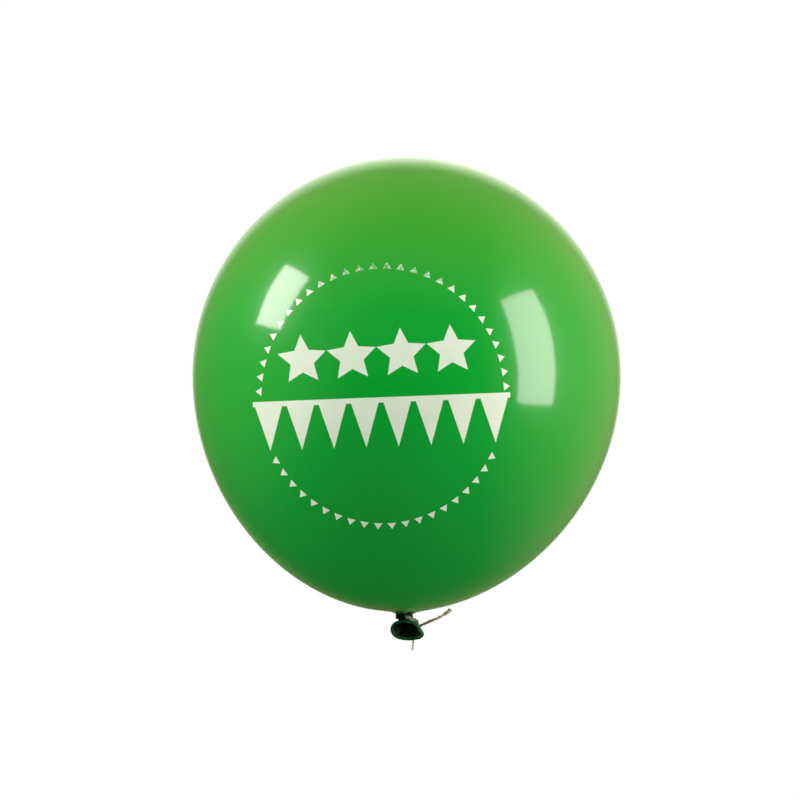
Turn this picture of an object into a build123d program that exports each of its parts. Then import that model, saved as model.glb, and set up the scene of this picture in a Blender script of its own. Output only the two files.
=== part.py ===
"""Inflated latex party balloon with a knotted neck, a rolled mouth, a printed front and a twine tie.

Millimetres. The origin is the middle of the latex knot, +Z runs up the balloon to its crown, -Y is the
printed side and +X is to the right as seen from that side.
"""
import math
import os

from build123d import *

os.makedirs("parts", exist_ok=True)

# Envelope: a round crown above the widest level, and below it a belly that narrows towards the neck.
envelope_radius = 150.0
crown_rise = 153.0  # from the widest level up to the crown
base_drop = 165.5  # from the widest level down to the bottom of the dome
crown_lean = (82.8, 84.5)  # the curve's handles: out along the top, and up from the widest level
belly_lean = (77.0, 90.7)  # the same, out along the bottom and down from the widest level
envelope_wall = 0.4
envelope_axis_x = 1.5  # the neck leaves the dome this far off its axis

# Latex knot: a squashed roll under the dome, with a pinched stub of neck above and below it.
knot_width = 12.4
knot_depth = 10.4
knot_top = 2.4
knot_bottom = -2.5
knot_round = 2.3
pinch_radius = 3.4
pinch_height = 0.3  # free neck between the dome and the knot
stem_radius = 2.5
stem_bottom = -3.6
stem_round = 0.8

# Mouth: a funnel that turns forwards from the neck to a rolled rim that is pulled out to the right.
throat_centre = (0.4, -2.8, -6.4)
throat_tilt = 35.0  # how far a section leans down from facing straight forwards
rim_centre = (1.5, -9.6, -9.4)
rim_tilt = 16.0
rim_outline = [  # the bead's middle line, across and up from the rim's centre
    (-10.2, 0.4),
    (-7.4, 5.0),
    (0.1, 6.5),
    (6.7, 4.6),
    (9.6, 0.0),
    (11.0, -3.2),
    (8.6, -5.6),
    (0.5, -6.5),
    (-7.2, -4.7),
]
bead_radius = 1.3
throat_scale = 0.3
cavity_scale = 0.9
funnel_flare = 1.25

# Twine: a loop through the latex knot, an overhand knot behind the mouth and two cut ends.
twine_diameter = 1.8
twine_knot_centre = (7.1, 2.2, -8.6)
twine_knot_radius = 2.3
loop_route = [
    (7.6, 0.9, -7.6),
    (9.2, -2.4, -5.6),
    (8.1, -5.6, -3.2),
    (4.9, -6.8, -1.7),
    (1.6, -5.2, -0.5),
    (0.2, -1.2, -0.2),
    (0.6, 2.8, -0.9),
    (3.0, 5.6, -3.0),
    (6.0, 5.4, -6.0),
    (7.0, 3.2, -7.6),
]
upper_tail_route = [
    (9.5, 3.1, -7.6),
    (14.4, 4.9, -5.6),
    (19.3, 7.7, -3.5),
    (23.9, 11.0, -1.9),
    (28.4, 13.3, 0.5),
    (32.2, 14.4, 3.7),
]
lower_tail_route = [
    (7.1, 3.5, -11.0),
    (7.0, 5.4, -14.2),
    (6.3, 6.2, -17.6),
    (5.9, 6.0, -20.8),
    (5.7, 5.2, -23.6),
]

# Print, drawn in front view: a ring of pennants, a row of stars and a row of bunting.
ink_thickness = 0.15
print_clearance = 5.0  # the figures are drawn on a plane this far in front of the envelope
print_depth = 140.0  # and reach this far back from it
ring_centre = (-15.0, 154.0)
ring_base = (82.4, 86.5)  # half width and half height of the ring through the pennants' bases
pennant_height = 4.2
pennant_base = 5.8
pennants_round = 56
pennant_phase = 4.4  # degrees above the horizontal of the first pennant
ring_gap = (-27.0, 0.5)  # pennants between these heights, in degrees, give way to the bunting
star_slope = 3.9
star_row_centre = (-18.9, 181.8)
star_count = 4
star_pitch = 33.8
star_radius = 17.4
star_waist = 0.48  # inner radius over outer radius
bunting_slope = 2.2
bunting_centre = (-16.0, 151.5)  # middle of the cord that the flags hang from
flag_count = 8
flag_pitch = 21.9
flag_width = 19.7
flag_drop = 31.9
cord_height = 3.5

# Worked out from the above.
equator_z = knot_top + pinch_height + base_drop
envelope_plane = Plane(origin=(envelope_axis_x, 0, equator_z), x_dir=(1, 0, 0), z_dir=(0, -1, 0))
envelope_axis = Axis((envelope_axis_x, 0, 0), (0, 0, 1))
print_plane = Plane.XZ.offset(envelope_radius + print_clearance)


def dome_solid(grow):
    """The solid of the envelope's outside, scaled about its middle so that its radius grows by grow."""
    scale = 1 + grow / envelope_radius
    crown = [
        (0, crown_rise),
        (crown_lean[0], crown_rise),
        (envelope_radius, crown_lean[1]),
        (envelope_radius, 0),
    ]
    belly = [
        (envelope_radius, 0),
        (envelope_radius, -belly_lean[1]),
        (belly_lean[0], -base_drop),
        (0, -base_drop),
    ]
    with BuildPart() as dome:
        with BuildSketch(envelope_plane):
            with BuildLine():
                crown_line = Bezier(*[(across * scale, up * scale) for across, up in crown])
                belly_line = Bezier(*[(across * scale, up * scale) for across, up in belly])
                Line(belly_line @ 1, crown_line @ 0)
            make_face()
        revolve(axis=envelope_axis)
    return dome.part


def tilted_plane(centre, tilt):
    """A plane through centre whose normal faces forwards, leaning down by tilt degrees."""
    lean = math.radians(tilt)
    return Plane(origin=centre, x_dir=(1, 0, 0), z_dir=(0, -math.cos(lean), -math.sin(lean)))


def scaled_rim(scale):
    """The points of the rim's outline, scaled about its centre."""
    return [(across * scale, up * scale) for across, up in rim_outline]


def funnel_station(share):
    """The section plane and the mouth's scale at a share of the way from the throat to the rim."""
    centre = [a + (b - a) * share for a, b in zip(throat_centre, rim_centre)]
    tilt = throat_tilt + (rim_tilt - throat_tilt) * share
    return tilted_plane(centre, tilt), throat_scale + (1 - throat_scale) * share**funnel_flare


def funnel_solid(shares, shrink):
    """A loft through the mouth's sections at these shares of its length, shrunk evenly."""
    with BuildPart() as funnel:
        for share in shares:
            plane, scale = funnel_station(share)
            with BuildSketch(plane):
                with BuildLine():
                    Spline(*scaled_rim(scale * shrink), periodic=True)
                make_face()
        loft()
    return funnel.part


def even_radii(route, share=0.45):
    """For each corner of a route, the largest arc its two runs allow."""
    points = [Vector(*p) for p in route]
    radii = []
    for before, corner, after in zip(points, points[1:], points[2:]):
        run_in, run_out = corner - before, after - corner
        half_turn = math.radians(run_in.get_angle(run_out)) / 2
        radii.append(share * min(run_in.length, run_out.length) / math.tan(half_turn))
    return radii


def twine_tube(route):
    """The twine swept along straight runs joined by tangent arcs, with its length and radii printed."""
    radii = even_radii(route)
    with BuildPart() as tube:
        with BuildLine() as path:
            FilletPolyline(*route, radius=radii)
        centreline = path.wires()[0]
        with BuildSketch(Plane(origin=centreline @ 0, z_dir=centreline % 0)):
            Circle(twine_diameter / 2)
        sweep()
    expected = math.pi * twine_diameter**2 / 4 * centreline.length
    print("twine length", round(centreline.length, 1), "radii", [round(r, 1) for r in radii])
    print("  volume over section times length", round(tube.part.volume / expected, 4))
    return tube.part


def print_on_envelope():
    """Turns the figures just drawn in the active BuildPart into ink on the envelope's front."""
    extrude(amount=-print_depth)
    add(ink_film.part, mode=Mode.INTERSECT)


# Envelope: a sealed shell with the pinched neck as a short solid stub.
outer_dome = dome_solid(0)
inner_dome = dome_solid(-envelope_wall)
with BuildPart() as envelope:
    add(outer_dome)
    add(inner_dome, mode=Mode.SUBTRACT)
    with BuildSketch(Plane.XY.offset(knot_top)):
        Circle(pinch_radius)
    extrude(amount=pinch_height + envelope_wall / 2)
envelope.part.label = "envelope"

# Twine loop and the knot that closes it.
loop_tube = twine_tube(loop_route)
with BuildPart() as twine_loop:
    add(loop_tube)
twine_loop.part.label = "twine_loop"

with BuildPart() as twine_knot:
    with Locations(twine_knot_centre):
        Sphere(twine_knot_radius)
    add(twine_loop.part, mode=Mode.SUBTRACT)
twine_knot.part.label = "twine_knot"

# The twine's two cut ends.
upper_tail_tube = twine_tube(upper_tail_route)
with BuildPart() as twine_tail_upper:
    add(upper_tail_tube)
twine_tail_upper.part.label = "twine_tail_upper"

lower_tail_tube = twine_tube(lower_tail_route)
with BuildPart() as twine_tail_lower:
    add(lower_tail_tube)
twine_tail_lower.part.label = "twine_tail_lower"

# The overhand knot tied in the neck, with the twine caught in it.
with BuildPart() as neck_knot:
    with BuildSketch(Plane.XY.offset(knot_bottom)):
        Ellipse(knot_width / 2, knot_depth / 2)
    extrude(amount=knot_top - knot_bottom)
    fillet(neck_knot.edges().filter_by(GeomType.ELLIPSE), radius=knot_round)
    add(twine_loop.part, mode=Mode.SUBTRACT)
neck_knot.part.label = "neck_knot"

# The gathered neck where it comes out under the knot.
with BuildPart() as neck_stem:
    with BuildSketch(Plane.XY.offset(stem_bottom)):
        Circle(stem_radius)
    extrude(amount=knot_bottom - stem_bottom)
    fillet(neck_stem.edges().sort_by(Axis.Z)[0], radius=stem_round)
neck_stem.part.label = "neck_stem"

# The bead that the mouth's edge is rolled into.
with BuildPart() as rolled_rim:
    with BuildLine(tilted_plane(rim_centre, rim_tilt)) as rim_line:
        Spline(*scaled_rim(1.0), periodic=True)
    rim_path = rim_line.wires()[0]
    with BuildSketch(Plane(origin=rim_path @ 0, z_dir=rim_path % 0)):
        Circle(bead_radius)
    sweep(path=rim_path)
rolled_rim.part.label = "rolled_rim"

# The mouth's funnel, open at the rim and pinched shut at the throat.
funnel_outside = funnel_solid((0.0, 0.5, 1.0), 1.0)
funnel_inside = funnel_solid((0.25, 0.6, 1.05), cavity_scale)
with BuildPart() as mouth_funnel:
    add(funnel_outside)
    add(funnel_inside, mode=Mode.SUBTRACT)
    add(rolled_rim.part, mode=Mode.SUBTRACT)
mouth_funnel.part.label = "mouth_funnel"

# The ink lies on the envelope as a thin film, cut to shape by prisms from the front.
grown_dome = dome_solid(ink_thickness)
with BuildPart() as ink_film:
    add(grown_dome)
    add(outer_dome, mode=Mode.SUBTRACT)

with BuildPart() as print_pennants:
    with BuildSketch(print_plane):
        for step in range(pennants_round):
            turn = (pennant_phase + step * 360 / pennants_round + 180) % 360 - 180
            height = turn if abs(turn) < 90 else math.copysign(180, turn) - turn
            if ring_gap[0] < height < ring_gap[1]:
                continue
            outwards = Vector(math.cos(math.radians(turn)), math.sin(math.radians(turn)))
            sideways = Vector(-outwards.Y, outwards.X) * (pennant_base / 2)
            base = Vector(
                ring_centre[0] + ring_base[0] * outwards.X,
                ring_centre[1] + ring_base[1] * outwards.Y,
            )
            with BuildLine():
                Polyline(base - sideways, base + outwards * pennant_height, base + sideways, close=True)
            make_face()
    print_on_envelope()
print_pennants.part.label = "print_pennants"

with BuildPart() as print_stars:
    with BuildSketch(print_plane):
        for step in range(star_count):
            along = (step - (star_count - 1) / 2) * star_pitch
            centre = Vector(*star_row_centre) + Vector(along, 0).rotate(Axis.Z, star_slope)
            tips = []
            for corner in range(10):
                reach = star_radius * (1 if corner % 2 == 0 else star_waist)
                tips.append(centre + Vector(0, reach).rotate(Axis.Z, star_slope + 36 * corner))
            with BuildLine():
                Polyline(*tips, close=True)
            make_face()
    print_on_envelope()
print_stars.part.label = "print_stars"

bunting_plane = Plane(
    origin=(bunting_centre[0], -envelope_radius - print_clearance, bunting_centre[1]),
    x_dir=(math.cos(math.radians(bunting_slope)), 0, math.sin(math.radians(bunting_slope))),
    z_dir=(0, -1, 0),
)
with BuildPart() as print_bunting:
    with BuildSketch(bunting_plane):
        Rectangle(flag_pitch * flag_count, cord_height)
        for step in range(flag_count):
            middle = (step - (flag_count - 1) / 2) * flag_pitch
            with BuildLine():
                Polyline(
                    (middle - flag_width / 2, 0),
                    (middle, -flag_drop),
                    (middle + flag_width / 2, 0),
                    close=True,
                )
            make_face()
    print_on_envelope()
print_bunting.part.label = "print_bunting"

for piece in (
    envelope,
    neck_knot,
    neck_stem,
    mouth_funnel,
    rolled_rim,
    twine_loop,
    twine_knot,
    twine_tail_upper,
    twine_tail_lower,
    print_pennants,
    print_stars,
    print_bunting,
):
    export_step(piece.part, f"parts/{piece.part.label}.step")
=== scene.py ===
"""Inflated green latex balloon, printed on the front and tied with twine, in a white studio.

Lengths are written in millimetres and turned into metres by MM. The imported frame's origin is the middle of
the latex knot, +Z runs up the balloon, and -Y is the printed front.
"""

import math
import random

import bmesh
import bpy
from mathutils import Matrix, Vector, noise


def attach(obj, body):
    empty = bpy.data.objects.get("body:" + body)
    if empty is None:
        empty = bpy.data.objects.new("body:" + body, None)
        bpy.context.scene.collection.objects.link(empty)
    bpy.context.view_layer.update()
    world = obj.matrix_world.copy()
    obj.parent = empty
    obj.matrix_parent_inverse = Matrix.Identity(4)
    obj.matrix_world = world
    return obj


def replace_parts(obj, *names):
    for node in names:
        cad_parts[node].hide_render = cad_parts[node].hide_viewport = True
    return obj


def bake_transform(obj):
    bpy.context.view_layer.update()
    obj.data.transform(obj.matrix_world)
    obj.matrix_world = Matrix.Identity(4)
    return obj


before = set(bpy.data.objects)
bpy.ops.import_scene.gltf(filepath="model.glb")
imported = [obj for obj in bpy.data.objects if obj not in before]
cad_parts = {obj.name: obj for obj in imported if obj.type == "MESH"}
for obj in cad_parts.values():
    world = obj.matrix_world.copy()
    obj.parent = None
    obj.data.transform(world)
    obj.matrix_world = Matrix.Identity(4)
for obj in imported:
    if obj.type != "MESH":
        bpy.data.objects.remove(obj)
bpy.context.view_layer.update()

MM = 0.001
TAU = 2 * math.pi
chance = random.Random(12)


# ---------------------------------------------------------------------------------------------- helpers


def smoothstep(low, high, value):
    """0 up to low, 1 from high, and a smooth rise between them."""
    share = min(max((value - low) / (high - low), 0.0), 1.0)
    return share * share * (3 - 2 * share)


def mix(a, b, share):
    """A number or vector that share of the way from a to b."""
    return a + (b - a) * share


def bezier(points, share):
    """The point at a share of a cubic curve with these four control points."""
    weights = (
        (1 - share) ** 3,
        3 * (1 - share) ** 2 * share,
        3 * (1 - share) * share**2,
        share**3,
    )
    return sum((w * Vector(p) for w, p in zip(weights, points)), Vector((0.0,) * len(points[0])))


def wobble(place, scale, seed):
    """Smooth noise from -1 to 1 at a place in millimetres, with features about scale across."""
    return noise.noise(Vector(place) / scale + Vector((seed, 2.7 * seed, 5.1 * seed)))


def piece_from(bm, name, material, body, smooth=True):
    """Turns a bmesh in millimetres into a finished piece that rides on a body."""
    bmesh.ops.recalc_face_normals(bm, faces=bm.faces)
    bmesh.ops.scale(bm, vec=(MM, MM, MM), verts=bm.verts)
    mesh = bpy.data.meshes.new(name)
    bm.to_mesh(mesh)
    bm.free()
    for polygon in mesh.polygons:
        polygon.use_smooth = smooth
    mesh.materials.append(material)
    piece = bpy.data.objects.new(name, mesh)
    bpy.context.scene.collection.objects.link(piece)
    if body:
        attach(piece, body)
    return piece


def skin_rings(bm, rings, looped=False):
    """Faces between rings of points, and from the last to the first if looped; returns the vertex rings."""
    made = [[bm.verts.new(p) for p in ring] for ring in rings]
    count = len(made[0])
    following = made[1:] + made[:1] if looped else made[1:]
    for low, high in zip(made, following):
        for i in range(count):
            j = (i + 1) % count
            bm.faces.new((low[i], low[j], high[j], high[i]))
    return made


def cap(bm, ring, centre=None):
    """Closes a ring of vertices with a fan of triangles round a centre, or round the ring's own middle."""
    if centre is None:
        centre = sum((v.co for v in ring), Vector()) / len(ring)
    hub = bm.verts.new(centre)
    for i, corner in enumerate(ring):
        bm.faces.new((corner, ring[(i + 1) % len(ring)], hub))


# ------------------------------------------------------------------------------------------------ camera

FRAME_WIDTH = 560.8  # how much is seen across, at the origin
CAMERA_DISTANCE = 4000.0
CAMERA_AIM = (-3.1, 151.4)  # across and up
SENSOR = 36.0


def make_camera():
    """A level camera in front of the balloon."""
    data = bpy.data.cameras.new("camera")
    data.sensor_width = SENSOR
    data.lens = SENSOR * CAMERA_DISTANCE / FRAME_WIDTH
    data.clip_end = 100
    camera = bpy.data.objects.new("camera", data)
    camera.location = (CAMERA_AIM[0] * MM, -CAMERA_DISTANCE * MM, CAMERA_AIM[1] * MM)
    camera.rotation_euler = (math.pi / 2, 0, 0)
    bpy.context.scene.collection.objects.link(camera)
    bpy.context.scene.camera = camera


make_camera()

# --------------------------------------------------------------------------------------------- materials


class Nodes:
    """A new material's node tree, with short ways to add and join nodes."""

    def __init__(self, name):
        self.material = bpy.data.materials.new(name)
        self.material.use_nodes = True
        self.tree = self.material.node_tree
        self.shader = self.tree.nodes["Principled BSDF"]
        self.place = self.add("ShaderNodeTexCoord").outputs["Object"]

    def add(self, kind, **values):
        """A node of a kind, with inputs named by keyword set to a value or linked from an output."""
        node = self.tree.nodes.new(kind)
        for key, value in values.items():
            self.put(node, key.replace("_", " "), value)
        return node

    def put(self, node, key, value):
        """Sets one input of a node, or links an output to it."""
        if isinstance(value, bpy.types.NodeSocket):
            self.tree.links.new(value, node.inputs[key])
        else:
            node.inputs[key].default_value = value

    def finish(self, **values):
        """Sets or links inputs of the shader and returns the material."""
        for key, value in values.items():
            self.put(self.shader, key.replace("_", " "), value)
        return self.material

    def noise(self, scale, detail=3.0, roughness=0.5):
        """A noise texture's value over the object."""
        values = {"Scale": scale, "Detail": detail, "Roughness": roughness, "Vector": self.place}
        return self.add("ShaderNodeTexNoise", **values).outputs["Fac"]

    def ramp(self, value, stops):
        """A colour ramp with (position, colour) stops, or (position, grey number)."""
        node = self.add("ShaderNodeValToRGB", Fac=value)
        elements = node.color_ramp.elements
        while len(elements) < len(stops):
            elements.new(0.5)
        for element, (position, colour) in zip(elements, stops):
            element.position = position
            element.color = (colour,) * 3 + (1,) if isinstance(colour, (int, float)) else (*colour, 1)
        return node.outputs["Color"]

    def mixed(self, share, first, second):
        """A colour between two colours or outputs."""
        node = self.tree.nodes.new("ShaderNodeMix")
        node.data_type = "RGBA"
        sockets = (node.inputs[0], node.inputs[6], node.inputs[7])  # the share and the two colours
        for socket, value in zip(sockets, (share, first, second)):
            if isinstance(value, bpy.types.NodeSocket):
                self.tree.links.new(value, socket)
            elif isinstance(value, tuple):
                socket.default_value = (*value, 1)
            else:
                socket.default_value = value
        return node.outputs[2]

    def axis(self, name):
        """One coordinate of the place on the object, in metres."""
        return self.add("ShaderNodeSeparateXYZ", Vector=self.place).outputs[name]

    def plus(self, first, second):
        """The sum of two outputs."""
        node = self.tree.nodes.new("ShaderNodeMath")
        node.operation = "ADD"
        for socket, value in zip(node.inputs, (first, second)):
            self.tree.links.new(value, socket)
        return node.outputs["Value"]

    def between(self, value, low, high):
        """A value mapped from low..high to 0..1, clamped."""
        node = self.add("ShaderNodeMapRange", Value=value)
        node.inputs["From Min"].default_value = low
        node.inputs["From Max"].default_value = high
        return node.outputs["Result"]

    def bump(self, height, strength, distance, below=None):
        """A bump from a height output; below is another bump's output."""
        node = self.add("ShaderNodeBump", Height=height, Strength=strength, Distance=distance)
        if below:
            self.tree.links.new(below, node.inputs["Normal"])
        return node.outputs["Normal"]


# Places inside materials are in metres, as the finished meshes are.
# The crown's paler, yellower green is painted light from above and the belly's darker green is painted shade
# from below; the middle is the latex's own green.
LATEX_CROWN_PAINTED_LIGHT = (0.046, 0.365, 0.022)
LATEX_MIDDLE = (0.0, 0.355, 0.025)
LATEX_BELLY_PAINTED_SHADE = (0.0, 0.306, 0.034)
LATEX_NECK = (0.0, 0.075, 0.012)
INK = (0.70, 0.84, 0.68)


def stretched_latex():
    """The inflated skin: glossy, painted paler and yellower at the crown as painted light and darker at the
    belly as painted shade, dark round the neck.
    """
    n = Nodes("stretched_latex")
    height = n.axis("Z")
    cloud = n.noise(9.0, 3.0)
    fine = n.noise(900.0, 4.0, 0.6)
    # By height: painted shade towards the belly and painted light towards the crown.
    body = n.mixed(n.between(height, 0.04, 0.17), LATEX_BELLY_PAINTED_SHADE, LATEX_MIDDLE)
    body = n.mixed(n.between(height, 0.21, 0.29), body, LATEX_CROWN_PAINTED_LIGHT)
    body = n.mixed(n.ramp(cloud, [(0.35, 0.0), (0.7, 0.12)]), body, (0.0, 0.42, 0.04))
    colour = n.mixed(n.between(height, 0.0085, 0.0015), body, LATEX_NECK)
    dust = n.ramp(fine, [(0.45, 0.08), (0.75, 0.14)])
    wave = n.bump(n.noise(14.0, 2.0), 0.12, 0.004)
    grain = n.bump(fine, 0.05, 0.0001, wave)
    return n.finish(
        Base_Color=colour,
        Roughness=dust,
        Normal=grain,
        IOR=1.5,
        Specular_IOR_Level=0.5,
        Coat_Weight=0.38,
        Coat_Roughness=0.34,
        Sheen_Weight=0.32,
        Sheen_Roughness=0.33,
        Sheen_Tint=(0.30, 0.85, 0.22, 1),
    )


def slack_latex(name, colour, deep, shine):
    """Latex that isn't stretched: thick, dark and dull, with painted shade in the hollows of its folds."""
    n = Nodes(name)
    fold = n.noise(420.0, 4.0, 0.6)
    fine = n.noise(2600.0, 3.0, 0.6)
    # Painted shade: the deep colour is laid in the hollows of the bumps that the same fold noise makes.
    shade = n.mixed(n.ramp(fold, [(0.35, 0.0), (0.7, 1.0)]), deep, colour)
    rough = n.ramp(fine, [(0.3, 0.34), (0.7, 0.52)])
    wave = n.bump(fold, 0.35, 0.0004)
    return n.finish(
        Base_Color=shade,
        Roughness=rough,
        Normal=n.bump(fine, 0.25, 0.00008, wave),
        Specular_IOR_Level=shine,
    )


def rolled_latex():
    """The rolled edge: its own green, with a band across it painted nearly black as shade."""
    n = Nodes("rolled_latex")
    slope = n.plus(n.axis("X"), n.axis("Z"))
    uneven = n.plus(n.between(slope, -0.026, 0.006), n.noise(170.0, 3.0))
    # Painted shade: a band across the rim, where x plus z is middling give or take noise, is painted nearly
    # black; elsewhere it keeps its own green.
    painted_shade_band = n.ramp(n.between(uneven, 0.4, 1.5), [(0.05, 0.0), (0.42, 0.9), (0.56, 0.9), (0.95, 0.0)])
    fine = n.noise(2600.0, 3.0, 0.6)
    colour = n.mixed(painted_shade_band, (0.008, 0.150, 0.042), (0.001, 0.020, 0.007))
    return n.finish(
        Base_Color=colour,
        Roughness=n.ramp(fine, [(0.3, 0.3), (0.7, 0.46)]),
        Normal=n.bump(fine, 0.25, 0.00008),
        Specular_IOR_Level=0.25,
    )


def twine_fibre():
    """Dry natural fibre, pale towards the frayed end, with green-tinted painted shade making it dark and
    yellow-green near the knot.
    """
    n = Nodes("twine_fibre")
    strand = n.noise(1500.0, 4.0, 0.65)
    blotch = n.noise(260.0, 2.0)
    pale = n.mixed(n.ramp(strand, [(0.3, 0.0), (0.66, 1.0)]), (0.30, 0.26, 0.15), (0.80, 0.77, 0.62))
    painted_shade_olive = n.mixed(n.ramp(strand, [(0.35, 0.0), (0.8, 1.0)]), (0.035, 0.032, 0.008), (0.22, 0.20, 0.08))
    # Painted shade: a band across X, a little out from the knot, is darkened and tinted green as if in the
    # balloon's shadow.
    across = n.between(n.axis("X"), 0.006, 0.034)
    near = n.ramp(across, [(0.0, 0.0), (0.12, 0.9), (0.45, 0.9), (0.75, 0.0)])
    colour = n.mixed(near, pale, painted_shade_olive)
    colour = n.mixed(n.ramp(blotch, [(0.5, 0.0), (0.8, 0.4)]), colour, (0.24, 0.21, 0.10))
    return n.finish(
        Base_Color=colour,
        Roughness=n.ramp(strand, [(0.3, 0.7), (0.7, 0.95)]),
        Normal=n.bump(strand, 0.6, 0.00012),
        Specular_IOR_Level=0.2,
        Sheen_Weight=0.25,
        Sheen_Roughness=0.5,
    )


def screen_ink(name, worn_from, worn_to):
    """Pale pearly ink that is rubbed into specks between two heights, where the skin stretches most."""
    n = Nodes(name)
    speck = n.noise(620.0, 5.0, 0.7)
    patch = n.noise(60.0, 3.0, 0.6)
    cloud = n.ramp(patch, [(0.35, 0.0), (0.75, 0.3)])
    colour = n.mixed(cloud, INK, (0.52, 0.72, 0.50))
    colour = n.mixed(n.ramp(speck, [(0.60, 0.0), (0.72, 0.4)]), colour, (0.16, 0.46, 0.17))
    rubbed = n.mixed(n.ramp(speck, [(0.42, 0.0), (0.52, 0.9)]), colour, (0.03, 0.36, 0.04))
    colour = n.mixed(n.between(n.axis("Z"), worn_from, worn_to), colour, rubbed)
    return n.finish(
        Base_Color=colour,
        Roughness=n.ramp(speck, [(0.3, 0.3), (0.8, 0.5)]),
        Normal=n.bump(speck, 0.12, 0.00005),
        Specular_IOR_Level=0.5,
    )


skin_material = stretched_latex()
# The knot's latex is its own dark green, painted darker still, nearly black, as shade.
knot_shade_material = slack_latex("knotted_latex_painted_shade", (0.0, 0.022, 0.005), (0.0, 0.004, 0.001), 0.16)
# The lobe's paler green is partly thinner latex and partly painted light from the right, a lit copy of the
# knot's latex.
lobe_light_material = slack_latex("thin_lobe_latex_painted_light", (0.004, 0.13, 0.025), (0.001, 0.035, 0.008), 0.3)
# The mouth's latex is its own dark green, painted nearly black as the shade inside the mouth.
mouth_shade_material = slack_latex("mouth_latex_painted_shade", (0.0, 0.014, 0.004), (0.0, 0.003, 0.001), 0.07)
rim_material = rolled_latex()
twine_material = twine_fibre()
ink_material = screen_ink("screen_ink", 0.25, 0.35)
worn_ink_material = screen_ink("worn_screen_ink", 0.225, 0.238)

# ------------------------------------------------------------------------------------------------- twine

TWINE_KNOT = (7.1, 2.2, -8.6)
LOOP_ROUTE = [
    (7.6, 0.9, -7.6),
    (9.4, -2.4, -5.4),
    (8.6, -6.0, -2.9),
    (5.1, -7.0, -1.4),
    (1.6, -5.3, -0.1),
    (0.2, -1.2, -0.2),
    (0.6, 2.8, -0.9),
    (3.0, 5.6, -3.0),
    (6.0, 5.4, -6.0),
    (7.0, 3.2, -7.6),
]
UPPER_TAIL_ROUTE = [
    TWINE_KNOT,
    (9.5, 3.1, -7.6),
    (14.4, 4.9, -5.6),
    (19.3, 7.7, -3.5),
    (23.9, 11.0, -1.9),
    (28.4, 13.3, 0.5),
    (32.2, 14.4, 3.7),
]
LOWER_TAIL_ROUTE = [
    TWINE_KNOT,
    (7.1, 3.5, -11.0),
    (7.0, 5.4, -14.2),
    (6.3, 6.2, -17.6),
    (5.9, 6.0, -20.8),
    (5.7, 5.2, -23.6),
]
PLIES = 2
LAY = 5.0  # length of one full twist
PLY_SIDES = 14
FIBRES_PER_MM = 2.0
TWINE_STEP = 0.22  # between one ring of a ply and the next
PLY_RADIUS = 0.29  # as a share of the twine's thickness
PLY_OFFSET = (0.225, 0.44)  # of each ply from the middle, where tight and where frayed, as the same share
SPREAD_LENGTH = 13.0  # how far back from a frayed end the plies begin to spread
FRAYED_END = {"fibres": 150, "length": 5.5, "reach": 0.45}
CUT_END = {"fibres": 26, "length": 0.6, "reach": 0.38}


def nurbs_line(route):
    """Points along the smooth line that has the route as its control points, all in millimetres."""
    curve = bpy.data.curves.new("route", "CURVE")
    curve.dimensions = "3D"
    curve.resolution_u = 16
    spline = curve.splines.new("NURBS")
    spline.points.add(len(route) - 1)
    for point, place in zip(spline.points, route):
        point.co = (*(c * MM for c in place), 1)
    spline.order_u = 3
    spline.use_endpoint_u = True
    holder = bpy.data.objects.new("route", curve)
    bpy.context.scene.collection.objects.link(holder)
    mesh = bpy.data.meshes.new_from_object(holder)
    line = [v.co / MM for v in mesh.vertices]
    bpy.data.objects.remove(holder)
    bpy.data.curves.remove(curve)
    bpy.data.meshes.remove(mesh)
    return line


def evenly(line, step):
    """The same line with points about step apart."""
    lengths = [0.0]
    for a, b in zip(line, line[1:]):
        lengths.append(lengths[-1] + (b - a).length)
    count = max(2, round(lengths[-1] / step))
    out, at = [], 0
    for i in range(count + 1):
        goal = lengths[-1] * i / count
        while at < len(line) - 2 and lengths[at + 1] < goal:
            at += 1
        span = lengths[at + 1] - lengths[at]
        out.append(line[at].lerp(line[at + 1], (goal - lengths[at]) / span if span else 0.0))
    return out


def frames_along(line, closed=False):
    """For each point of a line its tangent and two directions across it, turning as little as possible."""
    count = len(line)
    tangents = []
    for i in range(count):
        before = line[i - 1] if i or closed else line[i]
        after = line[(i + 1) % count] if i < count - 1 or closed else line[i]
        tangents.append((after - before).normalized())
    across = tangents[0].orthogonal().normalized()
    out = []
    for tangent in tangents:
        across = (across - tangent * across.dot(tangent)).normalized()
        out.append((tangent, across, tangent.cross(across)))
    return out


def tube(bm, line, radii, sides, lobes=0, lobe_depth=0.0, lobe_twist=0.0):
    """A closed tube along a line, whose section may have lobes that wind round it."""
    rings = []
    for i, (point, radius, (_, side, up)) in enumerate(zip(line, radii, frames_along(line))):
        ring = []
        for k in range(sides):
            angle = TAU * k / sides
            reach = radius * (1 + lobe_depth * math.sin(lobes * angle + lobe_twist * i))
            ring.append(point + side * (reach * math.cos(angle)) + up * (reach * math.sin(angle)))
        rings.append(ring)
    made = skin_rings(bm, rings)
    cap(bm, made[0], line[0])
    cap(bm, made[-1], line[-1])


def hair(bm, start, heading, length, radius=0.035, curl=0.35):
    """One loose fibre, bent a little."""
    bend = Vector([chance.uniform(-1, 1) for _ in range(3)]) * curl / max(1.0, length)
    line = [start + heading * (length * t) + bend * (length * t * t) for t in (0.0, 0.35, 0.7, 1.0)]
    tube(bm, line, [radius, radius, radius * 0.8, radius * 0.4], 4)


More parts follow.
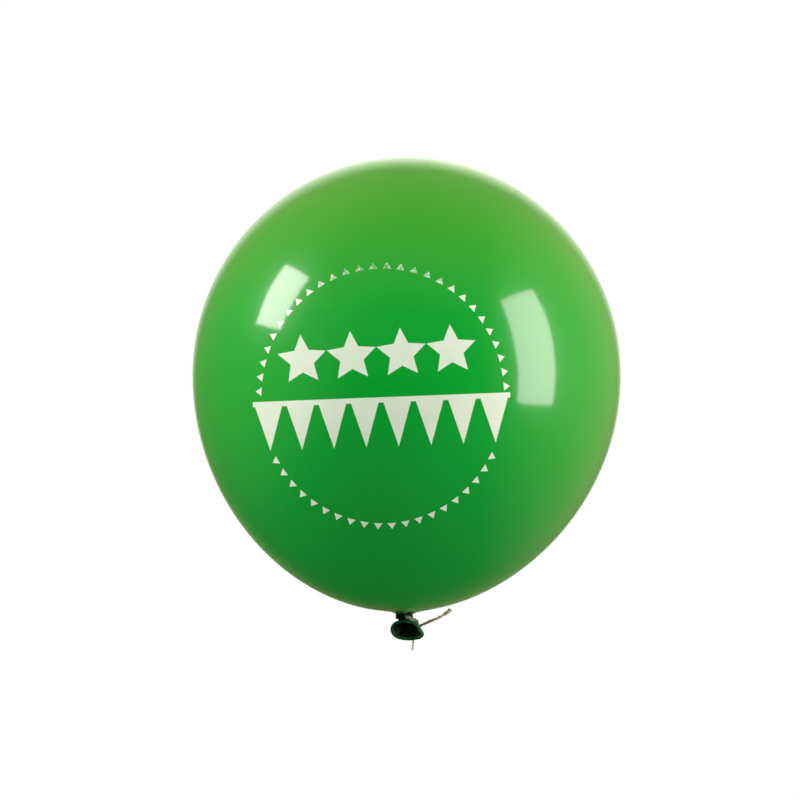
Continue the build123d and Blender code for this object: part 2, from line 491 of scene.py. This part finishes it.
def twist_plies(bm, line, frames, frayed, thick):
    """The plies, wound round the line and spread at its far end if frayed."""
    total = (len(line) - 1) * TWINE_STEP
    for ply in range(PLIES):
        path, radii = [], []
        for i, (point, (_, side, up)) in enumerate(zip(line, frames)):
            along = i * TWINE_STEP
            loose = smoothstep(total - SPREAD_LENGTH, total, along) if frayed else 0.0
            spread = thick * mix(*PLY_OFFSET, loose)
            angle = TAU * (along / LAY * mix(1.0, 0.82, loose) + ply / PLIES)
            shake = 1 + 0.10 * wobble((along, 7.0 * ply, 0.0), 1.7, 3.0)
            path.append(point + (side * math.cos(angle) + up * math.sin(angle)) * spread * shake)
            swell = 1 + 0.10 * wobble((along, 3.0 * ply, 5.0), 0.9, 8.0)
            radii.append(thick * PLY_RADIUS * swell * mix(1, 1.05, loose))
        tube(bm, path, radii, PLY_SIDES, lobes=5, lobe_depth=0.09, lobe_twist=0.35)


def any_side(frame_here):
    """A direction straight out of the line at one of its frames, at a random angle round it."""
    _, side, up = frame_here
    angle = chance.uniform(0, TAU)
    return side * math.cos(angle) + up * math.sin(angle)


def twisted_twine(bm, line, thick, frayed=False):
    """Twisted plies along a line, with loose fibres along it and at its far end."""
    line = evenly(line, TWINE_STEP)
    frames = frames_along(line)
    twist_plies(bm, line, frames, frayed, thick)
    last = len(line) - 1
    for _ in range(int(last * TWINE_STEP * FIBRES_PER_MM)):
        i = chance.randrange(1, last)
        out = any_side(frames[i])
        tangent = frames[i][0] * chance.choice((-1, 1))
        heading = (tangent + out * chance.uniform(0.25, 0.9)).normalized()
        hair(bm, line[i] + out * thick * 0.42, heading, chance.uniform(0.5, 1.3))
    end = FRAYED_END if frayed else CUT_END
    for _ in range(end["fibres"]):
        back = chance.uniform(0.2, 1.0) * end["length"]
        i = last - int(back / TWINE_STEP)
        out = any_side(frames[i])
        reach = chance.uniform(0.1, end["reach"]) * thick
        heading = (frames[i][0] + out * chance.uniform(0.0, 0.2)).normalized()
        hair(bm, line[i] + out * reach, heading, back + chance.uniform(-0.3, 0.9), 0.07, 0.12)


def twine_piece(name, body, route, **options):
    """A length of twine along a route, and the points it follows in metres."""
    line = nurbs_line(route)
    bm = bmesh.new()
    twisted_twine(bm, line, **options)
    piece = piece_from(bm, name, twine_material, body)
    return piece, [p * MM for p in line]


def overhand_line():
    """The line of a small overhand knot, which is a trefoil, round TWINE_KNOT."""
    size = 0.62
    turn = Matrix.Rotation(0.6, 3, "X") @ Matrix.Rotation(0.5, 3, "Y")
    count = 72
    line = []
    for i in range(count):
        t = TAU * i / count
        place = Vector(
            (math.sin(t) + 2 * math.sin(2 * t), math.cos(t) - 2 * math.cos(2 * t), -1.5 * math.sin(3 * t))
        )
        line.append(Vector(TWINE_KNOT) + turn @ place * size)
    return line + [line[0]]


def make_twine():
    """The loop through the latex knot, the overhand knot and the two cut ends."""
    upper_look = {"frayed": True, "thick": 2.0}
    upper, upper_line = twine_piece("twine_upper_end", "upper_tail", UPPER_TAIL_ROUTE, **upper_look)
    lower, _ = twine_piece("twine_lower_end", "lower_tail", LOWER_TAIL_ROUTE, thick=1.5)
    loop, _ = twine_piece("twine_loop_strand", "balloon", LOOP_ROUTE, thick=2.2)
    bm = bmesh.new()
    twisted_twine(bm, overhand_line(), thick=1.6)
    knot = piece_from(bm, "twine_overhand_knot", twine_material, "balloon")
    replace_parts(upper, "twine_tail_upper")
    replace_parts(lower, "twine_tail_lower")
    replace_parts(loop, "twine_loop")
    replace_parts(knot, "twine_knot")


make_twine()

# ---------------------------------------------------------------------------------------------- envelope

RADIUS = 150.0
WIDEST_Z = 168.2
CROWN_HEIGHT = 153.0
BELLY_DEPTH = 165.5
CROWN = [(0, CROWN_HEIGHT), (82.8, CROWN_HEIGHT), (RADIUS, 84.5), (RADIUS, 0)]
BELLY = [(RADIUS, 0), (RADIUS, -90.7), (77.0, -BELLY_DEPTH), (0, -BELLY_DEPTH)]
AXIS_X = 1.5  # the round part's middle, a little to the right of the knot
LEAN = 3.9  # how far the belly's bottom leans to the left
NECK_BLEND = (26.0, 7.0)  # between these radii the skin turns from the leaning belly to the neck
SEGMENTS = 224
CROWN_STEPS = 90
BELLY_STEPS = 114
BELLY_END = 107  # the step where the belly gives way to the neck's shallow dish
NECK_STEPS = 14
PINCHED_RADIUS = 3.0
DISH_RADIUS = 119.0  # of curvature, of that dish
HALVINGS = 40


def belly_centre(radius, height):
    """Where the middle of the skin's ring is, across, at a height below or above the widest level."""
    down = min(max(-height / BELLY_DEPTH, 0.0), 1.0)
    leaning = AXIS_X - LEAN * down**2.2
    if height > 0:
        return leaning
    return mix(leaning, 0.0, smoothstep(-NECK_BLEND[0], -NECK_BLEND[1], -radius))


def profile(height):
    """The skin's radius at a height from the widest level, found by halving."""
    curve = CROWN if height > 0 else BELLY
    low, high = 0.0, 1.0
    for _ in range(HALVINGS):
        middle = (low + high) / 2
        if bezier(curve, middle)[1] > height:
            low = middle
        else:
            high = middle
    return bezier(curve, low)[0]


def front_point(across, up, lift):
    """The place on the skin's front seen at across and up, lifted off it by lift."""
    height = up - WIDEST_Z
    radius = profile(height)
    aside = across - belly_centre(radius, height)
    place = Vector((across, -math.sqrt(max(radius**2 - aside**2, 0.0)), up))
    middle = Vector((AXIS_X, 0, WIDEST_Z))
    return middle + (place - middle) * (1 + lift / RADIUS)


def neck_pleat(angle, radius):
    """How far the skin is drawn up or down by the pleats that gather it at the neck."""
    share = smoothstep(-17.0, -3.5, -radius)
    crease = math.sin(9 * angle + 1.3 * math.sin(2 * angle + 0.7)) + 0.5 * math.sin(17 * angle + 2.1)
    return 0.42 * share * crease


def envelope_ring(radius, height):
    """One ring of the skin."""
    dip = 1.5 * smoothstep(-11.0, -3.2, -radius) ** 1.5 if height < 0 else 0.0
    centre = belly_centre(radius, height)
    ring = []
    for i in range(SEGMENTS):
        angle = TAU * i / SEGMENTS
        pleat = neck_pleat(angle, radius) if height < 0 else 0.0
        across = radius * math.cos(angle)
        deep = radius * math.sin(angle)
        ring.append((centre + across, deep, WIDEST_Z + height - dip + pleat))
    return ring


def make_envelope():
    """The inflated skin, from the crown down to the pleats inside the knot."""
    bm = bmesh.new()
    rings = []
    for step in range(1, CROWN_STEPS):
        rings.append(envelope_ring(*bezier(CROWN, step / CROWN_STEPS)))
    for step in range(BELLY_END + 1):
        rings.append(envelope_ring(*bezier(BELLY, step / BELLY_STEPS)))
    last = bezier(BELLY, BELLY_END / BELLY_STEPS)[0]
    for step in range(1, NECK_STEPS + 1):
        radius = mix(last, PINCHED_RADIUS, step / NECK_STEPS)
        rings.append(envelope_ring(radius, -BELLY_DEPTH + radius**2 / (2 * DISH_RADIUS)))
    made = skin_rings(bm, rings)
    cap(bm, made[0], (AXIS_X, 0, WIDEST_Z + CROWN_HEIGHT))
    cap(bm, made[-1])
    skin = piece_from(bm, "balloon_skin", skin_material, "balloon")
    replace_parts(skin, "envelope")


make_envelope()

# ----------------------------------------------------------------------------------------------- the knot

LOBE_CENTRE = Vector((3.7, -3.0, 0.5))
LOBE_RADII = (2.1, 2.3, 1.8)


def roll_section(angle, wide, high, phase):
    """A point of a squashed round section with folds, as an offset outwards and an offset upwards."""
    fold = 1 + 0.07 * math.sin(6 * angle + phase) + 0.05 * math.sin(11 * angle - 2 * phase)
    return wide * math.cos(angle) * fold, high * math.sin(angle) * fold


def knot_piece(name, rings, material, ends=(None, None)):
    """A closed piece of the knot, skinned over rings and shut at both ends."""
    bm = bmesh.new()
    made = skin_rings(bm, rings)
    cap(bm, made[0], ends[0])
    cap(bm, made[-1], ends[1])
    return piece_from(bm, name, material, "balloon")


def make_knot_roll():
    """The folded roll that winds once and a bit round the gathered neck."""
    rings = []
    turns, steps, sides = 1.22, 132, 36
    for i in range(steps + 1):
        share = i / steps
        angle = 2.6 + TAU * turns * share
        outward = Vector((math.cos(angle), math.sin(angle), 0))
        taper = smoothstep(0, 0.10, share) * smoothstep(0, 0.10, 1 - share)
        wide = mix(0.9, 2.35, taper)
        high = mix(0.7, 1.62, taper)
        radius = 3.25 + 0.35 * wobble((share * 9, 0, 0), 1.0, 4.0)
        middle = Vector((outward.x * (radius + 0.55), outward.y * radius * 0.86, mix(0.95, -1.05, share)))
        ring = []
        for k in range(sides):
            out, up = roll_section(TAU * k / sides, wide, high, 3.1 * share * TAU)
            crease = 0.09 * math.sin(23 * angle + 2 * math.sin(3 * TAU * k / sides))
            ring.append(middle + outward * (out + crease * taper) + Vector((0, 0, up)))
        rings.append(ring)
    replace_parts(knot_piece("latex_knot_roll", rings, knot_shade_material), "neck_knot")


def make_gathered_neck():
    """The pleated neck inside the roll."""
    rings = []
    top, bottom = 3.0, -3.2
    steps, sides = 21, 72
    for i in range(steps + 1):
        share = i / steps
        width = 3.3 + 0.9 * abs(2 * share - 1) ** 2
        ring = []
        for k in range(sides):
            angle = TAU * k / sides
            pleat = 0.30 * math.sin(12 * angle + 1.8 * share) + 0.16 * math.sin(21 * angle + 1.0)
            reach = width + pleat
            place = (reach * math.cos(angle), reach * 0.9 * math.sin(angle), mix(top, bottom, share))
            ring.append(place)
        rings.append(ring)
    knot_piece("gathered_neck", rings, knot_shade_material, ((0, 0, top), (0, 0, bottom)))


def make_knot_lobe():
    """The fold of thinner latex that bulges from the roll beside the mouth; its paler green than the roll is
    partly the thinner latex and partly painted light from the right.
    """
    rings = []
    steps, sides = 30, 56
    for i in range(1, steps):
        lean = math.pi * i / steps
        ring = []
        for k in range(sides):
            angle = TAU * k / sides
            fold = 1 + 0.05 * math.sin(5 * lean + 2 * angle) + 0.03 * math.sin(9 * angle + 3 * lean)
            level = math.sin(lean)
            out = (level * math.cos(angle), level * math.sin(angle), math.cos(lean))
            ring.append(LOBE_CENTRE + Vector(a * b for a, b in zip(out, LOBE_RADII)) * fold)
        rings.append(ring)
    pole = Vector((0, 0, LOBE_RADII[2]))
    knot_piece("latex_knot_lobe", rings, lobe_light_material, (LOBE_CENTRE + pole, LOBE_CENTRE - pole))


make_knot_roll()
make_gathered_neck()
make_knot_lobe()

# ----------------------------------------------------------------------------------------------- the mouth

THROAT = Vector((0.4, -2.8, -6.4))
THROAT_TILT = 35.0
RIM = Vector((1.5, -9.6, -9.4))
RIM_TILT = 16.0
RIM_OUTLINE = [  # across and up in the rim's own plane, from its middle
    (-10.2, 0.4),
    (-7.4, 5.0),
    (0.1, 6.5),
    (6.7, 4.6),
    (9.6, 0.0),
    (11.0, -3.2),
    (8.6, -5.6),
    (0.5, -6.5),
    (-7.2, -4.7),
]
ROUND_MOUTH = 7.4  # radius of the rim's outline if it were pulled round
BEAD = 1.18  # radius of the rolled edge
BEAD_SIDES = 28
GROOVE_DEPTH = 0.13  # of the groove that runs along the bead, as a share of its radius
GROOVE_ANGLE = 3.9  # in radians round the bead
GROOVE_WIDTH = 0.22
MOUTH_SIDES = 144


def closed_line(points, count):
    """A smooth closed line through points, as count places evenly spaced by parameter."""
    total = len(points)
    out = []
    for i in range(count):
        spot = i / count * total
        at, t = int(spot) % total, spot - int(spot)
        a, b, c, d = (Vector(points[(at + k) % total]) for k in (-1, 0, 1, 2))
        square = (2 * a - 5 * b + 4 * c - d) * t**2
        cube = (3 * b - a - 3 * c + d) * t**3
        out.append(0.5 * (2 * b + (c - a) * t + square + cube))
    return out


RIM_LINE = closed_line(RIM_OUTLINE, MOUTH_SIDES)


def mouth_plane(share):
    """The middle and the across and up directions of the mouth's section, from the throat to the rim."""
    lean = math.radians(mix(THROAT_TILT, RIM_TILT, share))
    return THROAT.lerp(RIM, share), Vector((1, 0, 0)), Vector((0, -math.sin(lean), math.cos(lean)))


def neck_fold(angle):
    """How high the gathered latex stands at an angle round it, for folds about 1 high."""
    return math.sin(7 * angle + 0.8 * math.sin(2 * angle)) + 0.55 * math.sin(13 * angle + 1.9)


def mouth_ring(share, scale, folds):
    """A ring of the funnel: the rim's outline shrunk by scale, and rounder and folded near the throat."""
    middle, across, up = mouth_plane(share)
    ring = []
    for u, v in RIM_LINE:
        angle = math.atan2(v, u)
        reach = mix(ROUND_MOUTH, math.hypot(u, v), min(1.0, scale * 1.1)) * scale
        reach += folds * neck_fold(angle)
        ring.append(middle + across * (reach * math.cos(angle)) + up * (reach * math.sin(angle)))
    return ring


def stem_ring(share):
    """A ring of the gathered neck between the knot and the throat."""
    start, end = Vector((0, 0, -1.6)), THROAT
    middle = bezier([start, start + Vector((0, 0, -2.6)), end + Vector((0, 1.6, 1.2)), end], share)
    lean = math.radians(mix(90.0, THROAT_TILT, smoothstep(0.1, 1.0, share)))
    across, up = Vector((1, 0, 0)), Vector((0, -math.sin(lean), math.cos(lean)))
    ring = []
    for u, v in RIM_LINE:
        angle = math.atan2(v, u)
        reach = mix(2.9, 2.25, share) + 0.26 * neck_fold(angle)
        ring.append(middle + across * (reach * math.cos(angle)) + up * (reach * math.sin(angle)))
    return ring


def make_mouth():
    """The gathered neck under the knot and the open mouth, one thin skin that bends at the neck."""
    bm = bmesh.new()
    stem_steps, outer_steps, inner_steps = 12, 18, 25
    rings = [stem_ring(step / stem_steps) for step in range(stem_steps)]
    for step in range(outer_steps + 1):
        share = step / outer_steps
        folds = 0.26 * (1 - share) ** 0.8 + 0.02
        rings.append(mouth_ring(share, mix(0.30, 0.97, share**1.25), folds))
    for step in range(inner_steps + 1):
        share = 1 - step / inner_steps
        folds = 0.62 * (1 - share) ** 0.7 * (0.35 + share)
        rings.append(mouth_ring(mix(0.12, 0.98, share), mix(0.10, 0.90, share**1.15), folds))
    made = skin_rings(bm, rings)
    cap(bm, made[0])
    cap(bm, made[-1])
    mouth = piece_from(bm, "mouth_skin", mouth_shade_material, None)
    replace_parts(mouth, "mouth_funnel", "neck_stem")
    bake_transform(mouth)


def make_rim():
    """The mouth's edge, rolled on itself into an uneven bead."""
    bm = bmesh.new()
    middle, across, up = mouth_plane(1.0)
    forward = across.cross(up)
    line = [middle + across * u + up * v for u, v in RIM_LINE]
    rings = []
    for point, (tangent, _, _) in zip(line, frames_along(line, closed=True)):
        outward = tangent.cross(forward).normalized()
        if outward.dot(point - middle) < 0:
            outward = -outward
        size = BEAD * (1 + 0.07 * wobble(point, 3.5, 2.0) + 0.04 * wobble(point, 1.1, 6.0))
        ring = []
        for k in range(BEAD_SIDES):
            angle = TAU * k / BEAD_SIDES
            groove = GROOVE_DEPTH * math.exp(-(((angle - GROOVE_ANGLE) / GROOVE_WIDTH) ** 2))
            reach = size * (1 - groove)
            ring.append(point + outward * (reach * math.cos(angle)) + forward * (reach * math.sin(angle)))
        rings.append(ring)
    skin_rings(bm, rings, looped=True)
    rim = piece_from(bm, "rolled_lip", rim_material, "mouth")
    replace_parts(rim, "rolled_rim")


make_mouth()
make_rim()

# ----------------------------------------------------------------------------------------------- the print

INK_LIFT = 0.10  # of the film's outer face from the skin, and of its hidden inner face
INK_SINK = -0.12
RING_CENTRE = (-15.0, 154.0)
RING_BASE = (82.4, 86.5)
PENNANT_HEIGHT = 4.2
PENNANT_BASE = 5.8
PENNANTS_ROUND = 56  # before those in the gap are left out
PENNANT_PHASE = 4.4
RING_GAP = (-27.0, 0.5)  # in degrees above the ring's middle, on both sides, where the bunting crosses
STAR_SLOPE = 3.9
STAR_ROW_CENTRE = (-18.9, 181.8)
STAR_COUNT = 4
STAR_PITCH = 33.8
STAR_RADIUS = 17.4
STAR_WAIST = 0.48  # of the inner corners, as a share of the radius
BUNTING_SLOPE = 2.2
BUNTING_CENTRE = (-16.0, 151.5)
FLAG_COUNT = 8
FLAG_PITCH = 21.9
FLAG_WIDTH = 19.7
FLAG_DROP = 31.9
CORD_HEIGHT = 3.5


def turned(point, degrees):
    """A point in the front view, turned about the origin."""
    angle = math.radians(degrees)
    return Vector(
        (
            point[0] * math.cos(angle) - point[1] * math.sin(angle),
            point[0] * math.sin(angle) + point[1] * math.cos(angle),
        )
    )


def gridded(triangles, grid):
    """Flat triangles cut up along a grid: the small faces and the outer edges, as points across and up."""
    bm = bmesh.new()
    for triangle in triangles:
        bm.faces.new([bm.verts.new((p[0], 0, p[1])) for p in triangle])
    bmesh.ops.remove_doubles(bm, verts=bm.verts, dist=0.001)
    for axis in (0, 2):
        low = min(v.co[axis] for v in bm.verts)
        high = max(v.co[axis] for v in bm.verts)
        for step in range(1, int((high - low) / grid) + 1):
            spot, way = Vector(), Vector()
            spot[axis] = low + step * grid
            way[axis] = 1
            everything = bm.verts[:] + bm.edges[:] + bm.faces[:]
            bmesh.ops.bisect_plane(bm, geom=everything, dist=1e-4, plane_co=spot, plane_no=way)
    bmesh.ops.triangulate(bm, faces=bm.faces)
    flat = {v: (v.co.x, v.co.z) for v in bm.verts}
    faces = [[flat[v] for v in face.verts] for face in bm.faces]
    outer = [edge for edge in bm.edges if len(edge.link_faces) == 1]
    border = {(flat[edge.verts[0]], flat[edge.verts[1]]) for edge in outer}
    bm.free()
    return faces, border


def ink_piece(name, triangles, grid, material):
    """A film of ink on the skin, from flat triangles in the front view that don't overlap."""
    faces, border = gridded(triangles, grid)
    bm = bmesh.new()
    top, under = {}, {}
    for face in faces:
        for place in face:
            if place not in top:
                top[place] = bm.verts.new(front_point(*place, INK_LIFT))
                under[place] = bm.verts.new(front_point(*place, INK_SINK))
        bm.faces.new([top[p] for p in face])
        bm.faces.new([under[p] for p in reversed(face)])
    for a, b in border:
        bm.faces.new((top[a], top[b], under[b], under[a]))
    return piece_from(bm, name, material, "balloon", smooth=False)


def make_ring():
    """The ring of small pennants, left out where the bunting crosses it."""
    triangles = []
    for step in range(PENNANTS_ROUND):
        turn = (PENNANT_PHASE + step * 360 / PENNANTS_ROUND + 180) % 360 - 180
        rise = turn if abs(turn) < 90 else math.copysign(180, turn) - turn
        if RING_GAP[0] < rise < RING_GAP[1]:
            continue
        out = Vector((math.cos(math.radians(turn)), math.sin(math.radians(turn))))
        side = Vector((-out.y, out.x)) * (PENNANT_BASE / 2)
        base = Vector((RING_CENTRE[0] + RING_BASE[0] * out.x, RING_CENTRE[1] + RING_BASE[1] * out.y))
        triangles.append((base - side, base + side, base + out * PENNANT_HEIGHT))
    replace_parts(ink_piece("ink_pennant_ring", triangles, 2.0, worn_ink_material), "print_pennants")


def make_stars():
    """The row of stars."""
    triangles = []
    corners = 10
    for step in range(STAR_COUNT):
        along = (step - (STAR_COUNT - 1) / 2) * STAR_PITCH
        centre = Vector(STAR_ROW_CENTRE) + turned((along, 0), STAR_SLOPE)
        tips = []
        for corner in range(corners):
            reach = STAR_RADIUS * (1 if corner % 2 == 0 else STAR_WAIST)
            tips.append(centre + turned((0, reach), STAR_SLOPE + 360 / corners * corner))
        triangles += [(centre, tips[k], tips[(k + 1) % corners]) for k in range(corners)]
    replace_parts(ink_piece("ink_star_row", triangles, 2.5, ink_material), "print_stars")


def make_bunting():
    """The row of larger flags under a cord that runs right across the ring."""
    low, high = -CORD_HEIGHT / 2, CORD_HEIGHT / 2
    reach = FLAG_WIDTH / 2 * (1 + low / FLAG_DROP)
    middles = [(step - (FLAG_COUNT - 1) / 2) * FLAG_PITCH for step in range(FLAG_COUNT)]
    triangles = [((x - reach, low), (x, -FLAG_DROP), (x + reach, low)) for x in middles]
    ends = FLAG_PITCH * FLAG_COUNT / 2
    corners = [-ends] + [x + side for x in middles for side in (-reach, reach)] + [ends]
    for left, right in zip(corners, corners[1:]):
        triangles.append(((left, low), (right, low), (right, high)))
        triangles.append(((left, low), (right, high), (left, high)))
    centre = Vector(BUNTING_CENTRE)
    placed = [[centre + turned(p, BUNTING_SLOPE) for p in t] for t in triangles]
    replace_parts(ink_piece("ink_bunting", placed, 2.5, ink_material), "print_bunting")


make_ring()
make_stars()
make_bunting()

# ---------------------------------------------------------------------------------------------- the studio

FLOOR_Z = -4500.0
FLOOR_RADIUS = 9000.0
FILL_SPREAD = 70.0  # degrees
SOFTBOX_TINT = (1.0, 0.84, 0.90)


def softbox(name, place, size, power):
    """A rectangular light in millimetres that faces the balloon and shows as a highlight on it."""
    data = bpy.data.lights.new(name, "AREA")
    data.shape = "RECTANGLE"
    data.size, data.size_y = size[0] * MM, size[1] * MM
    data.energy = power
    data.color = SOFTBOX_TINT
    light = bpy.data.objects.new(name, data)
    light.location = Vector(place) * MM
    aim = Vector((AXIS_X, 0, WIDEST_Z))
    light.rotation_euler = (aim - Vector(place)).to_track_quat("-Z", "Y").to_euler()
    bpy.context.scene.collection.objects.link(light)


def fill(name, source, strength):
    """Soft even light from a direction, too broad and dim to show as a highlight."""
    data = bpy.data.lights.new(name, "SUN")
    data.energy = strength * math.pi
    data.angle = math.radians(FILL_SPREAD)
    light = bpy.data.objects.new(name, data)
    light.rotation_euler = (-Vector(source)).to_track_quat("-Z", "Y").to_euler()
    light.visible_glossy = False
    bpy.context.scene.collection.objects.link(light)


# Where the surroundings glow: a direction, where along it the light starts and is full, and its colour.
GLOWS = [
    ((0.35, 0.45, 0.50), 0.0, 0.8, (0.36, 0.27, 0.17)),
    ((0.0, 1.0, 0.25), 0.93, 1.03, (0.95, 1.0, 0.90)),
    ((-0.9, 0.1, 0.4), 0.35, 1.0, (0.38, 0.26, 0.15)),
    ((1.0, 0.25, 0.0), 0.5, 1.0, (0.56, 0.37, 0.20)),
]


def make_world():
    """Plain surroundings: white to look at, glowing warmly above and at both sides and palely behind."""
    world = bpy.data.worlds.new("studio")
    bpy.context.scene.world = world
    world.use_nodes = True
    nodes, links = world.node_tree.nodes, world.node_tree.links
    nodes.clear()

    def vector(operation):
        node = nodes.new("ShaderNodeVectorMath")
        node.operation = operation
        return node

    place = nodes.new("ShaderNodeTexCoord").outputs["Generated"]
    total = None
    for direction, low, high, colour in GLOWS:
        along = vector("DOT_PRODUCT")
        along.inputs[1].default_value = direction
        links.new(place, along.inputs[0])
        share = nodes.new("ShaderNodeMapRange")
        for key, number in zip(("From Min", "From Max"), (low, high)):
            share.inputs[key].default_value = number
        links.new(along.outputs["Value"], share.inputs["Value"])
        glow = vector("SCALE")
        glow.inputs[0].default_value = colour
        links.new(share.outputs["Result"], glow.inputs["Scale"])
        add = vector("ADD")
        links.new(glow.outputs["Vector"], add.inputs[0])
        if total:
            links.new(total, add.inputs[1])
        total = add.outputs["Vector"]
    dim = nodes.new("ShaderNodeBackground")
    links.new(total, dim.inputs["Color"])
    white = nodes.new("ShaderNodeBackground")
    white.inputs["Color"].default_value = (1, 1, 1, 1)
    choose = nodes.new("ShaderNodeMixShader")
    links.new(nodes.new("ShaderNodeLightPath").outputs["Is Camera Ray"], choose.inputs[0])
    links.new(dim.outputs[0], choose.inputs[1])
    links.new(white.outputs[0], choose.inputs[2])
    links.new(choose.outputs[0], nodes.new("ShaderNodeOutputWorld").inputs[0])


def make_floor():
    """A pale floor, well below the floating balloon."""
    n = Nodes("pale_floor")
    bm = bmesh.new()
    bmesh.ops.create_circle(bm, cap_ends=True, segments=96, radius=FLOOR_RADIUS)
    bmesh.ops.translate(bm, verts=bm.verts, vec=(0, 0, FLOOR_Z))
    paint = n.finish(Base_Color=(0.86, 0.86, 0.86, 1), Roughness=0.8)
    floor = piece_from(bm, "studio_floor", paint, None)
    floor.visible_glossy = False


bpy.context.scene.view_settings.view_transform = "Standard"
make_world()
make_floor()
softbox("left_softbox", (-1300, -210, 950), (500, 650), 12.5)
softbox("right_softbox", (1400, -490, 470), (660, 1250), 21)
fill("front_fill", (0, -0.8, 0.6), 0.43)
fill("under_fill", (0.35, -0.5, -0.80), 0.56)
fill("left_fill", (-0.9, -0.3, 0.0), 0.42)
fill("back_fill", (0, 1, 0.2), 0.50)
